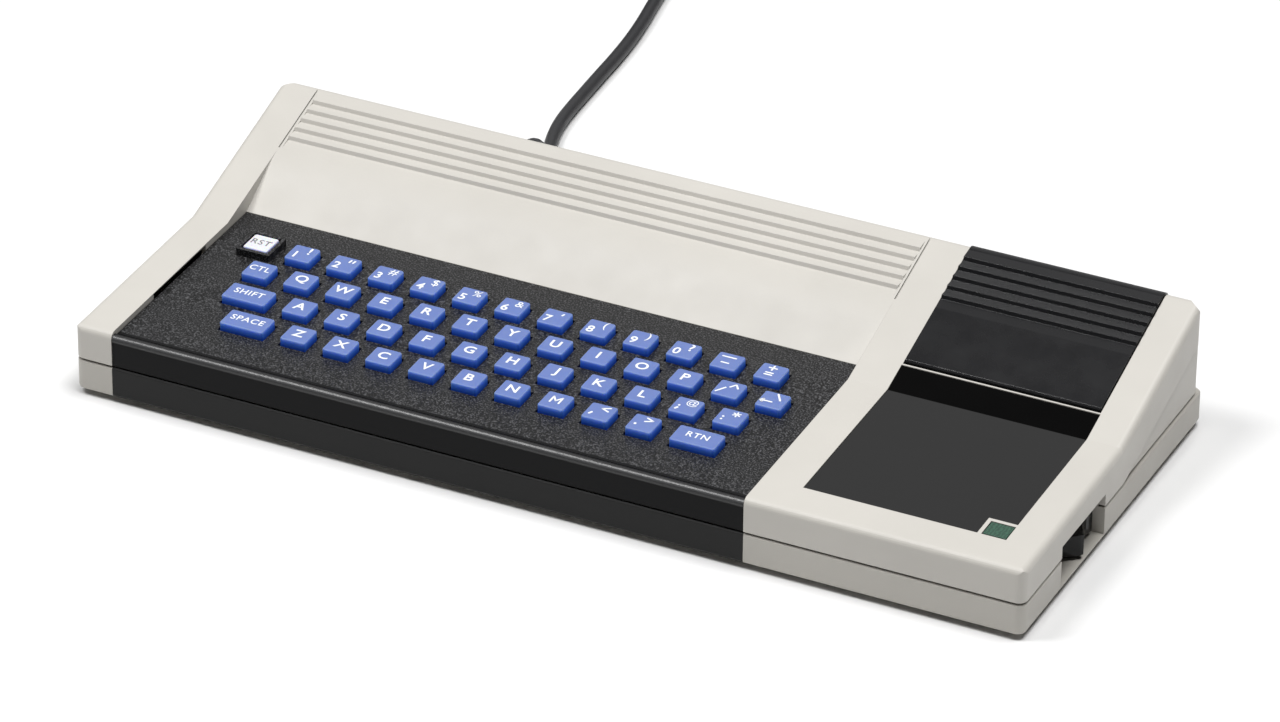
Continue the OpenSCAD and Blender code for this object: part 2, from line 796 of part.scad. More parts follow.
module key_holes() {
    for (k = every_key)
        translate([key_x(k[0], k[1]), key_s(k[0]), -deck_t - 1])
            linear_extrude(deck_t + reset_frame_h + 2)
                square([key_width(k[0], k[1]) + 2 * key_gap, key_d + 2 * key_gap], center = true);
}

module keyboard_bezel() {
    frame_w = key_w + 2 * (key_gap + reset_frame_w);
    frame_d = key_d + 2 * (key_gap + reset_frame_w);
    color("#3a3a3d")
    in_case()
    difference() {
        union() {
            run_x(bezel_x, bezel_end_x, bezel_outline);
            on_deck()
                translate([key_x(0, 0), key_s(0), -deck_t / 2])
                    linear_extrude(deck_t / 2 + reset_frame_h)
                        round_rect(frame_w, frame_d, 0.8);
            on_deck()
                for (p = boss_places)
                    translate([p[0], p[1], key_board_top])
                        cylinder(r = boss_r, h = key_board_drop + deck_t / 2, $fn = 32);
        }
        on_deck()
            key_holes();
    }
}

// One key with its middle at the deck's surface
module key_solid(w) {
    translate([0, 0, -key_under])
        linear_extrude(key_under + key_up)
            round_rect(w, key_d, key_r);
    translate([0, 0, -key_under - flange_t / 2])
        cube([w + 2 * flange_w, key_d + 2 * flange_w, flange_t], center = true);
    plunger_h = key_board_drop - flange_t - key_travel - 0.2;
    translate([0, 0, -key_under - flange_t - plunger_h / 2])
        cube([w - 3, key_d - 3, plunger_h + skin], center = true);
}

module place_key(row, i) {
    in_case()
        on_deck()
            translate([key_x(row, i), key_s(row), 0])
                key_solid(key_width(row, i));
}

module number_row_keys() {
    color("#6f86d8")
        for (i = [1:number_keys])
            place_key(0, i);
}

module key_reset() {
    color("#e8ebf4")
        place_key(0, 0);
}

module letter_key(row, i) {
    color("#6f86d8")
        place_key(row, i);
}

mat_clear = 0.6;
module key_mat() {
    color("#4f66c0")
    in_case()
    on_deck()
    difference() {
        translate([keyboard_x, keyboard_s - 3, key_board_top])
            cube([keyboard_w, keyboard_d + 3, mat_t]);
        for (k = every_key)
            translate([key_x(k[0], k[1]), key_s(k[0]), key_board_top])
                cube([key_width(k[0], k[1]) + 2 * (flange_w + mat_clear),
                      key_d + 2 * (flange_w + mat_clear), 4 * mat_t], center = true);
        for (p = boss_places)
            translate([p[0], p[1], key_board_top - 1])
                cylinder(r = boss_r + 0.2, h = mat_t + 2, $fn = 32);
    }
}

module keyboard_board() {
    color("#2f6b3c")
    in_case()
    on_deck()
        translate([keyboard_x, keyboard_s - 3, key_board_top - board_t])
            cube([keyboard_w, keyboard_d + 3, board_t]);
}

// ---- Label, lens and cover --------------------------------------------------

label_gap = 0.1;
label_bends = [label_y + label_gap, crease_y, label_back_y - label_gap];
module label_panel() {
    color("#2b2b2d")
    in_case()
    difference() {
        run_x(label_x + label_gap, label_end_x - label_gap, concat(
            [for (y = label_bends) [y, top_z(y) - label_recess]],
            [for (i = [2:-1:0]) [label_bends[i], top_z(label_bends[i]) - label_recess + label_t]]
        ));
        lens_corner(label_gap);
    }
}

module power_lens() {
    color("#3f7a55")
    in_case()
    block([lens_x + lens_gap, label_y + lens_gap, lens_seat_z],
          [label_end_x - lens_gap, lens_back_y - lens_gap, lens_top_z]);
}

flap_y = cap_y - wall;
module cartridge_cover() {
    top = cover_up;
    color("#26262a")
    in_case()
        run_x(cover_x, cover_x + cover_w, concat(
            [[cover_y, top_z(cover_y) + top - cover_t], [cover_y, top_z(cover_y) + top - 0.5],
             [cover_y + 0.5, top_z(cover_y + 0.5) + top]],
            steps_line(top),
            arc(back_arc_y, back_arc_z + top, back_edge_r, 89 + rise_angle, 0, 8),
            [[cap_y, top_z(cap_y) - flap_h], [flap_y, top_z(cap_y) - flap_h],
             [flap_y, top_z(flap_y) + top - cover_t]]
        ));
}

module cartridge_connector() {
    x0 = bay_x + connector_end;
    x1 = bay_end_x - connector_end;
    y = bay_y + 2 * connector_gap;
    color("#1d1d1f")
    in_case()
    difference() {
        block([x0, y, main_board_top], [x1, y + connector_d, bay_floor_z + connector_up]);
        // Slot for the cartridge's edge
        block([x0 + connector_wall, y + connector_wall, bay_floor_z + 5],
              [x1 - connector_wall, y + connector_d + 1, bay_floor_z + 5 + connector_wall]);
    }
}

// ---- Lower shell ------------------------------------------------------------

low_chamfer = 0.5;
// Outlines of the lower shell from the underside up: [height, how far it is drawn in]
lower_levels = [
    [0, foot_edge], [foot_edge * 0.3, foot_edge * 0.3], [foot_edge, 0],
    [seam_low - low_chamfer, 0], [seam_low - skin, low_chamfer]
];
module lower_outside() {
    hull()
        for (level = lower_levels, x = [corner_r, body_w - corner_r], y = [corner_r, body_d - corner_r])
            translate([x, y, level[0]])
                cylinder(r = corner_r - level[1], h = skin, $fn = 32);
}

skirt_t = 1.2;
module skirt_zone(gap) {
    block([rail_w - gap, -1, -1], [block_x + gap, skirt_t + gap, seam_top]);
}

module front_skirt() {
    color("#232325")
    in_case()
    intersection() {
        lower_outside();
        skirt_zone(0);
    }
}

module bottom_case() {
    color("#d8d4cc")
    in_case()
    difference() {
        union() {
            difference() {
                lower_outside();
                block([wall, wall, wall], [body_w - wall, body_d - wall, seam_low - wall]);
                block([wall, wall, wall], [body_w - wall, inner_back_y, through]);
                skirt_zone(0.05);
            }
            // Tongue that closes the seam from inside
            difference() {
                block([wall + tongue_gap, wall + tongue_gap, wall],
                      [body_w - wall - tongue_gap, inner_back_y - tongue_gap, seam_top + tongue_h]);
                block([wall + tongue_gap + tongue_t, wall + tongue_gap + tongue_t, wall - 1],
                      [body_w - wall - tongue_gap - tongue_t,
                       inner_back_y - tongue_gap - tongue_t, through]);
            }
            for (p = post_places)
                translate([p[0], p[1], wall / 2])
                    cylinder(r = post_r, h = seam_low - 1.5 - wall / 2, $fn = 32);
            // Stand-offs under the main board
            for (p = stand_places)
                translate([p[0], p[1], wall / 2])
                    cylinder(r = stand_r, h = main_board_z - wall / 2, $fn = 32);
            pocket_box(wall / 2, seam_low);
        }
        pocket_cut();
        // Seat of the switch's lower lug
        block([face_x - face_t - seat_gap, pivot_y - lug_r - 1, pocket_z],
              [face_x, pivot_y + lug_r + 1, wall + 1]);
        // Ribs, pocket walls and sockets of the upper shell pass the tongue
        block([face_x, pocket_y - pocket_wall - 0.2, seam_top - 0.2],
              [body_w - wall, pocket_y + pocket_l + pocket_wall + 0.2, through]);
        for (x = [rail_w - rail_rib - 0.2, block_x - 0.2])
            block([x, 0.5, seam_top - 0.2], [x + rail_rib + 0.4, inner_back_y, through]);
        socket_cuts();
        for (p = post_places)
            translate([p[0], p[1], 0]) {
                translate([0, 0, -1])
                    cylinder(r = screw_r + screw_gap, h = through, $fn = 32);
                translate([0, 0, -1])
                    cylinder(r = screw_head_r + screw_gap, h = screw_seat_z + 1, $fn = 32);
            }
    }
}

module rubber_feet() {
    color("#2a2a2a")
        for (x = [foot_in_x, body_w - foot_in_x], y = [foot_in_y, body_d - foot_in_y])
            translate([x - body_w / 2, y - body_d / 2, 0])
                cylinder(r1 = foot_r - 0.6, r2 = foot_r, h = foot_h, $fn = 48);
}

module case_screws() {
    color("#9a9a9e")
    in_case()
        for (p = post_places)
            translate([p[0], p[1], 0]) {
                difference() {
                    translate([0, 0, screw_seat_z - screw_head_h])
                        cylinder(r = screw_head_r, h = screw_head_h, $fn = 32);
                    for (a = [0, 90])
                        rotate([0, 0, a])
                            translate([0, 0, screw_seat_z - screw_head_h])
                                cube(screw_slot, center = true);
                }
                translate([0, 0, screw_seat_z - 0.1])
                    cylinder(r = screw_r, h = screw_l, $fn = 32);
            }
}

// ---- Power switch -----------------------------------------------------------

module power_rocker() {
    color("#141414")
    in_case()
    translate([pivot_x, pivot_y, rocker_z]) {
        linear_extrude(rocker_h)
            polygon(rocker_outline);
        translate([0, 0, -lug_t + 0.1])
            cylinder(r = pin_r, h = rocker_h + 2 * lug_t - 0.2, $fn = 32);
    }
}

module switch_body() {
    mouth_y0 = pivot_y - mouth_front;
    mouth_y1 = pivot_y + mouth_back;
    cavity_x = face_x - mouth_deep;
    rocker_top = rocker_z + rocker_h + lug_gap;
    lug_z = rocker_z - lug_gap - lug_t;
    color("#1b1b1b")
    in_case()
    difference() {
        union() {
            block([face_x - face_t, pocket_y - pocket_wall, wall],
                  [face_x, pocket_y + pocket_l + pocket_wall, pocket_z + pocket_h + pocket_wall]);
            block([cavity_x - face_t, mouth_y0 - face_t, wall],
                  [face_x - face_t + skin, mouth_y1 + face_t, rocker_top + switch_lid]);
            // Lugs above and below the rocker
            block([face_x - face_t, pivot_y - lug_r, lug_z], [face_x, pivot_y + lug_r, wall + skin]);
            for (z = [lug_z, rocker_top])
                translate([0, 0, z]) {
                    block([face_x - face_t, pivot_y - lug_r, 0], [pivot_x, pivot_y + lug_r, lug_t]);
                    translate([pivot_x, pivot_y, 0])
                        cylinder(r = lug_r, h = lug_t, $fn = 32);
                }
            for (y = terminals_y)
                translate([cavity_x - face_t - terminal_size[0], pivot_y + y, rocker_z + lug_t])
                    cube(terminal_size + [skin, 0, 0]);
        }
        block([cavity_x, mouth_y0, rocker_z - lug_gap], [face_x + skin, mouth_y1, rocker_top]);
        translate([pivot_x, pivot_y, lug_z - 1])
            cylinder(r = pin_r + pin_gap, h = rocker_top + lug_t - lug_z + 2, $fn = 32);
    }
}

// ---- Boards and what is on them ---------------------------------------------

module main_board() {
    color("#2f6b3c")
    in_case()
    difference() {
        block([board_edge, board_edge, main_board_z],
              [body_w - board_edge, inner_back_y - board_edge / 2, main_board_top]);
        for (p = post_places)
            translate([p[0], p[1], main_board_z - 1])
                cylinder(r = post_r + 0.8, h = board_t + 2, $fn = 32);
        // Room for the power switch and its terminals
        block([face_x - mouth_deep - 2 * terminal_size[0], pocket_y - 4, 0],
              [body_w, pocket_y + pocket_l + 4, through]);
    }
}

// A box that stands on the main board
module on_board(x, y, size) {
    translate([x, y, main_board_top])
        cube(size);
}

module din_socket(x) {
    difference() {
        union() {
            block([x - din_block[0] / 2, socket_back_y - din_block[1], main_board_top],
                  [x + din_block[0] / 2, socket_back_y, socket_z + din_block_up]);
            rod_y(x, socket_back_y - 1, socket_z, din_r, panel_y - socket_back_y + 1);
        }
        for (a = [-90:45:90])
            rod_y(x + din_circle_r * sin(a), panel_y - din_hole_l,
                  socket_z + din_circle_up - din_circle_r * cos(a), din_pin_r, 2 * din_hole_l);
    }
}

module board_components() {
    color("#222224")
    in_case() {
        for (c = chips)
            on_board(c[0], c[1], [c[2], c[3], chip_h]);
        for (p = capacitors)
            translate([p[0], p[1], main_board_top])
                cylinder(r = capacitor_r, h = capacitor_h, $fn = 32);
        // Regulator on its heat sink
        on_board(sink_place[0], sink_place[1], sink_size);
        translate([(sink_size[0] - regulator_size[0]) / 2, sink_size[1], sink_size[2] - regulator_size[2]])
            on_board(sink_place[0], sink_place[1], regulator_size);
        // Light for the power lens, on its spacer
        translate([lens_x + lens_w / 2, label_y + lens_d / 2, main_board_top]) {
            cylinder(r = lamp_r, h = lamp_h, $fn = 32);
            translate([0, 0, lamp_h])
                cylinder(r = lamp_tip_r, h = lamp_tip_h, $fn = 32);
        }
        // Round sockets for the cassette recorder and the printer
        for (i = [0:1])
            din_socket(din_x + din_pitch * i);
    }
}

slot_w = slider_w + channel_travel + 2 * slide_gap + 1;
module rf_modulator() {
    color("#b9bcc0")
    in_case()
    difference() {
        union() {
            block([can_x, socket_back_y - can_d, main_board_top],
                  [can_end_x, socket_back_y, main_board_top + can_h]);
            rod_y(phono_x, socket_back_y - skin, socket_z, phono_r, phono_l);
        }
        rod_y(phono_x, socket_back_y + phono_l - phono_hole_l, socket_z, phono_hole_r, through);
        // Slot that the channel switch slides in
        translate([channel_x, socket_back_y, socket_z])
            cube([slot_w, 2 * (slider_d + slide_gap), slider_h + 2 * slide_gap], center = true);
    }
}

module channel_switch() {
    x = channel_x - channel_travel / 2;
    color("#1a1a1a")
    in_case()
        block([x - slider_w / 2, socket_back_y - slider_d, socket_z - slider_h / 2],
              [x + slider_w / 2, panel_y + slider_out, socket_z + slider_h / 2]);
}

// ---- Lead and adapter -------------------------------------------------------

module strain_relief() {
    y = inner_back_y;
    color("#161616")
    in_case()
    translate([lead_x, y - 2.4, socket_z])
        rotate([-90, 0, 0])
            rotate_extrude($fn = 48)
                polygon([
                    [0, 0], [relief_neck_r + 1.8, 0], [relief_neck_r + 1.8, 2.4], [relief_neck_r, 2.4],
                    [relief_neck_r, 2.4 + wall], [relief_neck_r + 1.6, 2.4 + wall],
                    [relief_neck_r + 1.6, 4.4 + wall], [relief_neck_r, 4.4 + wall],
                    [relief_end_r, 2.4 + wall + relief_l], [0, 2.4 + wall + relief_l]
                ]);
}

// Tube along a list of points, each ring square to the route there
tube_sides = 10;
function unit(v) = v / norm(v);
function heading(route, i) =
    unit(route[min(i + 1, len(route) - 1)] - route[max(i - 1, 0)]);
function tube_ring(route, i) =
    let (d = heading(route, i), side = unit(cross(d, [0, 0, 1])), up = cross(side, d))
        [for (k = [0:tube_sides - 1])
            let (a = 360 * (k + 0.5) / tube_sides)
                route[i] + lead_r * (cos(a) * side + sin(a) * up)];
module lead_tube(route) {
    n = tube_sides;
    last = len(route) - 1;
    polyhedron(
        points = [for (i = [0:last]) for (p = tube_ring(route, i)) p],
        faces = concat(
            [[for (k = [0:n - 1]) n - 1 - k]],
            [for (i = [0:last - 1]) for (k = [0:n - 1])
                let (a = i * n + k, b = i * n + (k + 1) % n) [a, b, b + n]],
            [for (i = [0:last - 1]) for (k = [0:n - 1])
                let (a = i * n + k, b = i * n + (k + 1) % n) [a, b + n, a + n]],
            [[for (k = [0:n - 1]) last * n + k]]
        )
    );
}

module power_cord() {
    color("#1c1c1e") {
        lead_tube(lead_route);
        lead_tube(tail_route);
    }
}

module cord_coil() {
    color("#1c1c1e")
    translate([coil_x, coil_y, 0])
        rotate_extrude($fn = 64)
            translate([coil_in_r, 0])
                square([coil_out_r - coil_in_r, coil_top]);
}

module power_adapter() {
    entry_z = lead_d * (coil_up - 0.5);
    color("#1a1a1c")
    translate([adapter_x, adapter_y, 0]) {
        linear_extrude(adapter_h)
            translate([adapter_w / 2, adapter_l / 2])
                round_rect(adapter_w, adapter_l, adapter_r);
        // Boot where the lead enters
        translate([adapter_w - 1, adapter_l / 2, entry_z])
            rotate([0, 90, 0])
                cylinder(r1 = lead_r + 1.3, r2 = lead_r, h = 1 + adapter_boot_l, $fn = 32);
        // Flat blades
        for (x = [-blade_gap / 2, blade_gap / 2])
            translate([adapter_w / 2 + x, adapter_l + (blade_l - 1) / 2, adapter_h / 2])
                cube([blade_t, blade_l + 1, blade_w], center = true);
    }
}

// ---- What is drawn ----------------------------------------------------------

top_case();
keyboard_bezel();
bottom_case();
front_skirt();
label_panel();
cartridge_cover();
power_lens();
power_rocker();
switch_body();
rubber_feet();
case_screws();
key_mat();
keyboard_board();
main_board();
board_components();
cartridge_connector();
rf_modulator();
channel_switch();
strain_relief();
power_cord();
cord_coil();
power_adapter();
number_row_keys();
key_reset();
for (row = [1:3], i = [0:len(KEY_ROWS[row - 1]) - 1])
    letter_key(row, i);
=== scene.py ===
"""Looks of a small wedge-shaped home computer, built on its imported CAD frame.

Everything is in metres in the part's own frame: the origin is on the floor under the
middle of the case, +X to the right seen from the front, +Y to the back, +Z up.
"""

import math

import bmesh
import bpy
from mathutils import Matrix, Vector


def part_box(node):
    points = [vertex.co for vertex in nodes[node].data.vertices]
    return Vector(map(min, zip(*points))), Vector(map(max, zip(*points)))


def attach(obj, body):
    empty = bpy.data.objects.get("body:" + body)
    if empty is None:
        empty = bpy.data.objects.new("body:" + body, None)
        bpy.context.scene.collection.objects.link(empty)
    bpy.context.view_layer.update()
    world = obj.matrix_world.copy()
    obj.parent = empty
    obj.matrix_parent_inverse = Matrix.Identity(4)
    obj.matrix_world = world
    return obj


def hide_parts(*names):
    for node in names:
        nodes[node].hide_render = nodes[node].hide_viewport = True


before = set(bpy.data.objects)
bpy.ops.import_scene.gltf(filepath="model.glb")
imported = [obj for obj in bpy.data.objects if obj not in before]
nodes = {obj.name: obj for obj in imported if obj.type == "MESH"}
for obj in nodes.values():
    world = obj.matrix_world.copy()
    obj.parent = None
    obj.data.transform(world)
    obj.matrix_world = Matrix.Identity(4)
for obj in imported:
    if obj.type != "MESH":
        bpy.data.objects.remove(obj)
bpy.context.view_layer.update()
scene = bpy.context.scene
MM = 0.001


def link(obj):
    scene.collection.objects.link(obj)
    return obj


# ---- Camera ------------------------------------------------------------------

camera_data = bpy.data.cameras.new("camera")
camera_data.sensor_fit = "HORIZONTAL"
camera_data.sensor_width = 36.0
camera_data.lens = 193.94
camera_data.shift_x = 0.00245
camera_data.shift_y = -0.00738
camera_data.clip_start = 0.05
camera_data.clip_end = 50.0
camera = link(bpy.data.objects.new("camera", camera_data))
right = Vector((0.89964, 0.43651, 0.00983))
up = Vector((-0.22816, 0.45081, 0.86297))
back = right.cross(up)
spot = Vector((852.96, -1785.01, 1179.46)) * MM
camera.matrix_world = Matrix(
    [
        [right.x, up.x, back.x, spot.x],
        [right.y, up.y, back.y, spot.y],
        [right.z, up.z, back.z, spot.z],
        [0, 0, 0, 1],
    ]
)
scene.camera = camera

# ---- Power lead --------------------------------------------------------------

LEAD_D = 5.0
# From the strain relief, down to the floor and back to the coil
lead_route = [
    (-97, 98, 21.2), (-97, 102, 21.2), (-97, 106, 21.2), (-97.1, 111, 20.7),
    (-97.5, 116, 19.1), (-98.2, 121, 16.2), (-99.1, 126, 11.8), (-100.2, 131, 7.3),
    (-101.6, 136, 4.5), (-103.3, 141, 3), (-105.2, 146, 2.5), (-108, 155, 2.5),
    (-109.8, 164, 2.5), (-110.8, 173, 2.5), (-111.8, 187, 2.5), (-112.7, 201, 2.5),
    (-113.6, 216, 2.5), (-115, 231, 2.5), (-117.2, 246, 2.5), (-119.8, 260, 2.5),
    (-122.2, 274, 2.5), (-123.8, 288, 2.5), (-124.7, 302, 2.5), (-125, 315, 2.5),
    (-125, 327, 2.5),
]  # fmt: skip
COIL_AT = (-87.5, 337.0)
COIL_R = 37.5
# Where the lead steps one diameter in (-1) or out (+1), in degrees wound so far
COIL_STEPS = [(240, -1), (600, -1), (960, -1), (1440, 1), (1800, 1), (2160, 1)]
COIL_CLIMB = 1200
STEP_ARC = 120
WOUND = 2430


def ease(x):
    x = min(max(x, 0.0), 1.0)
    return 0.5 - 0.5 * math.cos(math.pi * x)


def coil_point(wound):
    r = COIL_R + LEAD_D * sum(way * ease((wound - at) / STEP_ARC) for at, way in COIL_STEPS)
    z = LEAD_D / 2 + LEAD_D * ease((wound - COIL_CLIMB) / STEP_ARC)
    a = math.radians(180 - wound)
    return (COIL_AT[0] + r * math.cos(a), COIL_AT[1] + r * math.sin(a), z)


coil_route = [coil_point(15.0 * i) for i in range(WOUND // 15 + 1)]
tail_route = [(x, COIL_AT[1] - COIL_R, 1.5 * LEAD_D) for x in (-99, -109, -120, -131)]
cord_points = [Vector(p) * MM for p in lead_route + coil_route + tail_route]
cord_curve = bpy.data.curves.new("power_lead", "CURVE")
cord_curve.dimensions = "3D"
cord_curve.resolution_u = 6
cord_curve.bevel_depth = LEAD_D / 2 * MM
cord_curve.bevel_resolution = 5
spline = cord_curve.splines.new("BEZIER")
spline.bezier_points.add(len(cord_points) - 1)
for knot, p in zip(spline.bezier_points, cord_points):
    knot.co = p
    knot.handle_left_type = knot.handle_right_type = "AUTO"
lead = link(bpy.data.objects.new("power_lead", cord_curve))


# ---- Materials ---------------------------------------------------------------


class Nodes:
    """A short way to build one material's nodes."""

    def __init__(self, name):
        self.material = bpy.data.materials.new(name)
        self.material.use_nodes = True
        self.tree = self.material.node_tree
        self.shader = self.tree.nodes["Principled BSDF"]
        self.where = self.add("ShaderNodeTexCoord").outputs["Object"]

    def add(self, kind, **values):
        node = self.tree.nodes.new(kind)
        for key, value in values.items():
            if key in node.inputs:
                node.inputs[key].default_value = value
            else:
                setattr(node, key, value)
        return node

    def join(self, source, target):
        self.tree.links.new(source, target)

    def noise(self, scale, detail=3.0, rough=0.5, where=None):
        node = self.add("ShaderNodeTexNoise", Scale=scale, Detail=detail, Roughness=rough)
        self.join(where or self.where, node.inputs["Vector"])
        return node.outputs["Fac"]

    def ramp(self, source, *stops):
        """Colours or greys along a 0 to 1 value: stops are (place, colour)."""
        node = self.add("ShaderNodeValToRGB")
        marks = node.color_ramp.elements
        while len(marks) < len(stops):
            marks.new(0.5)
        for mark, (at, colour) in zip(marks, stops):
            mark.position = at
            grey = not isinstance(colour, tuple)
            mark.color = (colour,) * 3 + (1,) if grey else (*colour, 1)
        self.join(source, node.inputs["Fac"])
        return node.outputs["Color"]

    def soft_edges(self, radius):
        node = self.add("ShaderNodeBevel", samples=6, Radius=radius)
        return node.outputs["Normal"]

    def paint_seam_shade(self, body, colour):
        """Painted shade: darkens the body colour in narrow gaps, by how closed in they are."""
        open_sky = self.add("ShaderNodeAmbientOcclusion", samples=6, Distance=0.0016)
        amount = self.ramp(open_sky.outputs["AO"], (0.18, 1.0), (0.42, 0.0))
        mix = self.add("ShaderNodeMix", data_type="RGBA")
        self.join(amount, mix.inputs["Factor"])
        self.join(body, mix.inputs["A"])
        mix.inputs["B"].default_value = (*colour, 1)
        return mix.outputs["Result"]

    def bump(self, height, depth, normal=None):
        node = self.add("ShaderNodeBump", Strength=1.0, Distance=depth)
        self.join(height, node.inputs["Height"])
        if normal is not None:
            self.join(normal, node.inputs["Normal"])
        return node.outputs["Normal"]


def plastic(
    name,
    colour,
    rough,
    grain,
    depth,
    edge,
    spread=0.03,
    shine=0.5,
    rough_spread=0.05,
    seam_shade=None,
    polish=0.0,
):
    """Moulded plastic: fine grain, a little unevenness in colour and gloss, soft edges, and
    painted shade in narrow gaps when a seam shade colour is given.

    grain is the scale of the grain and depth its height; edge is the radius of the edges.
    """
    n = Nodes(name)
    uneven = n.noise(14, 4.0, 0.6)
    low = tuple(c * (1 - spread) for c in colour)
    high = tuple(min(c * (1 + spread), 1.0) for c in colour)
    body = n.ramp(uneven, (0.35, low), (0.65, high))
    # Painted shade: narrow gaps and seams are darkened by how closed in they are
    if seam_shade:
        body = n.paint_seam_shade(body, seam_shade)
    n.join(body, n.shader.inputs["Base Color"])
    n.join(
        n.ramp(n.noise(90, 3.0), (0.3, rough - rough_spread), (0.7, rough + rough_spread)),
        n.shader.inputs["Roughness"],
    )
    n.shader.inputs["Specular IOR Level"].default_value = shine
    n.shader.inputs["Coat Weight"].default_value = polish
    n.shader.inputs["Coat Roughness"].default_value = 0.1
    normal = n.soft_edges(edge)
    n.join(n.bump(n.noise(grain, 2.0, 0.55), depth, normal), n.shader.inputs["Normal"])
    return n.material


# Colour of the painted shade in the cases' seams and gaps
SEAM_SHADE_COLOUR = (0.035, 0.030, 0.020)
case_light = plastic(
    "case_plastic", (0.526, 0.506, 0.467), 0.47, 2600, 0.00002, 0.0003, seam_shade=SEAM_SHADE_COLOUR
)
# Painted shade: the bottom case is the top case's plastic painted about a tenth darker, for the
# shade on the lower part of the case
case_lower_shaded = plastic(
    "case_plastic_lower", (0.474, 0.455, 0.415), 0.47, 2600, 0.00002, 0.0003, seam_shade=SEAM_SHADE_COLOUR
)
cover_black = plastic(
    "cover_plastic", (0.009, 0.009, 0.010), 0.27, 3200, 0.00002, 0.0003, rough_spread=0.03
)
skirt_black = plastic(
    "skirt_plastic", (0.010, 0.010, 0.010), 0.34, 1800, 0.00002, 0.0002, shine=0.2
)
rocker_black = plastic(
    "rocker_plastic", (0.003, 0.003, 0.003), 0.2, 1500, 0.00001, 0.0004, shine=0.05, polish=0.4
)
switch_black = plastic(
    "switch_plastic", (0.004, 0.004, 0.004), 0.45, 1500, 0.00001, 0.0003, shine=0.15
)
foot_rubber = plastic("foot_rubber", (0.03, 0.03, 0.03), 0.8, 1200, 0.00004, 0.0006)
mat_rubber = plastic("mat_rubber", (0.06, 0.10, 0.42), 0.6, 1200, 0.00002, 0.0003)
chip_black = plastic("chip", (0.018, 0.018, 0.02), 0.5, 2500, 0.00002, 0.0003)
connector_black = plastic("connector_plastic", (0.02, 0.02, 0.022), 0.5, 1500, 0.00001, 0.0003)
cord_rubber = plastic("cord_rubber", (0.028, 0.028, 0.030), 0.5, 1400, 0.00003, 0.0003)
adapter_black = plastic("adapter_plastic", (0.02, 0.02, 0.022), 0.5, 1600, 0.00004, 0.0006)


def grained_deck():
    """Deck plastic: fine pale grain, a painted highlight along the bead's front, and painted
    shadow in the groove and a strip behind it.
    """
    n = Nodes("deck_plastic")
    split = n.add("ShaderNodeSeparateXYZ")
    n.join(n.where, split.inputs["Vector"])

    def part(axis, low, high):
        step = n.add("ShaderNodeMapRange")
        step.inputs["From Min"].default_value = low
        step.inputs["From Max"].default_value = high
        n.join(split.outputs[axis], step.inputs["Value"])
        return step.outputs["Result"]

    def times(a, b):
        both = n.add("ShaderNodeMath", operation="MULTIPLY")
        n.join(a, both.inputs[0])
        n.join(b, both.inputs[1])
        return both.outputs["Value"]

    def mix(factor, a, b):
        both = n.add("ShaderNodeMix", data_type="RGBA")
        n.join(factor, both.inputs["Factor"])
        for source, socket in ((a, both.inputs["A"]), (b, both.inputs["B"])):
            if isinstance(source, tuple):
                socket.default_value = (*source, 1)
            else:
                n.join(source, socket)
        return both.outputs["Result"]

    # The apron's top, the bead's front half and top, and the groove and a strip behind it, which
    # are painted dark as shadow
    apron = (0.005, 0.005, 0.0055)
    # Painted highlight along the bead's front, where the edge light would shine on it
    bead_highlight = (0.055, 0.055, 0.057)
    above = part("Z", 0.0226, 0.0236)
    rise = part("Z", 0.0238, 0.0252)
    past_bead = part("Y", -0.0743, -0.0738)
    past_groove = part("Y", -0.0709, -0.0704)
    grain = n.noise(1700, 2.0, 0.6)
    speckle = n.ramp(
        grain,
        (0.42, (0.002, 0.002, 0.002)),
        (0.52, (0.012, 0.012, 0.013)),
        (0.66, (0.095, 0.095, 0.099)),
    )
    # Painted highlight in a band on the bead's front, darker again at its crest
    bead = n.ramp(rise, (0.0, apron), (0.45, bead_highlight), (0.75, bead_highlight), (1.0, (0.010, 0.010, 0.0105)))
    # Painted shadow: the groove and a strip behind it take the apron's dark colour
    deck = mix(past_groove, apron, speckle)
    n.join(mix(past_bead, bead, mix(above, apron, deck)), n.shader.inputs["Base Color"])
    n.join(n.ramp(above, (0.0, 0.60), (1.0, 0.45)), n.shader.inputs["Roughness"])
    n.shader.inputs["Specular IOR Level"].default_value = 0.15
    gloss = n.ramp(past_groove, (0.0, 0.0), (1.0, 0.30))
    n.join(times(above, mix(past_bead, (1.0, 1.0, 1.0), gloss)), n.shader.inputs["Coat Weight"])
    n.shader.inputs["Coat Roughness"].default_value = 0.3
    relief = times(grain, above)
    normal = n.bump(relief, 0.00006, n.soft_edges(0.0003))
    n.join(normal, n.shader.inputs["Normal"])
    n.join(normal, n.shader.inputs["Coat Normal"])
    return n.material


def silicone(name, *stops):
    """Slightly clear silicone, coloured by height up the key by the stops given: on the blue keys
    the sides are painted brighter and fuller in colour than the top, as light from the front; on
    all keys the colour darkens towards the bottom, as painted shade.
    """
    n = Nodes(name)
    height = n.add("ShaderNodeAttribute", attribute_name="height").outputs["Fac"]
    n.join(n.ramp(height, *stops), n.shader.inputs["Base Color"])
    n.shader.inputs["Roughness"].default_value = 0.5
    n.shader.inputs["Specular IOR Level"].default_value = 0.4
    n.shader.inputs["Subsurface Weight"].default_value = 0.6
    n.shader.inputs["Subsurface Radius"].default_value = (0.3, 0.5, 1.0)
    n.shader.inputs["Subsurface Scale"].default_value = 0.0022
    n.join(n.bump(n.noise(1600, 3.0, 0.6), 0.00003), n.shader.inputs["Normal"])
    return n.material


